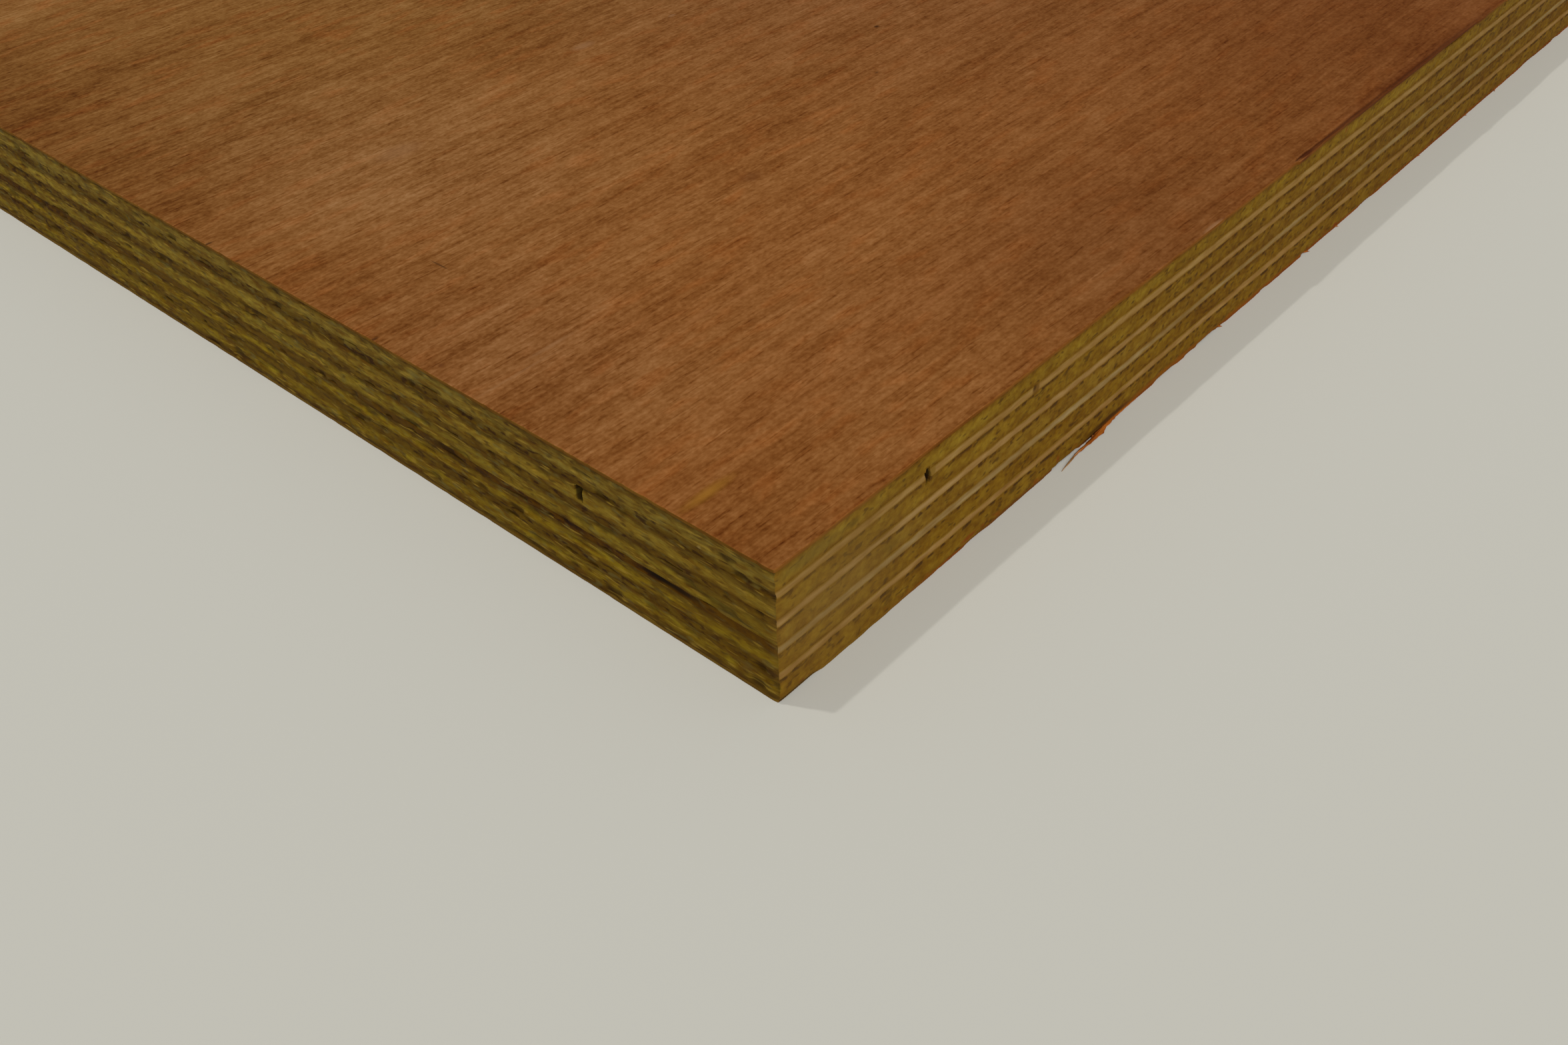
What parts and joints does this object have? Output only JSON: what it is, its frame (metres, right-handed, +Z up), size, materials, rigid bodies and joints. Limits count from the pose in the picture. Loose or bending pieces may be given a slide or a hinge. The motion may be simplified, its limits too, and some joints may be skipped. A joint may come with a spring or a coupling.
{
  "type": "plywood sheet",
  "caption": "Full plywood sheet laid flat, with thin long-grain and thick cross-grain veneers showing in layers on its sawn edges.",
  "frame": {"origin": "centre of the underside of the sheet", "axes": "+X along the sheet's length and the grain of its outer veneers, +Y across it, +Z up through its thickness, out of the face veneer"},
  "size_m": [2.44, 1.22, 0.018],
  "materials": {
    "face_wood": "sanded, uncoated",
    "back_wood": "rough sanded, uncoated",
    "long_core_wood": "sawn on its edges",
    "cross_core_wood": "sawn on its edges"
  },
  "bodies": {
    "root": {"back_veneer": "back_wood", "cross_veneer_1": "cross_core_wood", "long_veneer_1": "long_core_wood", "cross_veneer_2": "cross_core_wood", "long_veneer_2": "long_core_wood", "cross_veneer_3": "cross_core_wood", "long_veneer_3": "long_core_wood", "cross_veneer_4": "cross_core_wood", "long_veneer_4": "long_core_wood", "cross_veneer_5": "cross_core_wood", "face_veneer": "face_wood"}
  },
  "joints": []
}
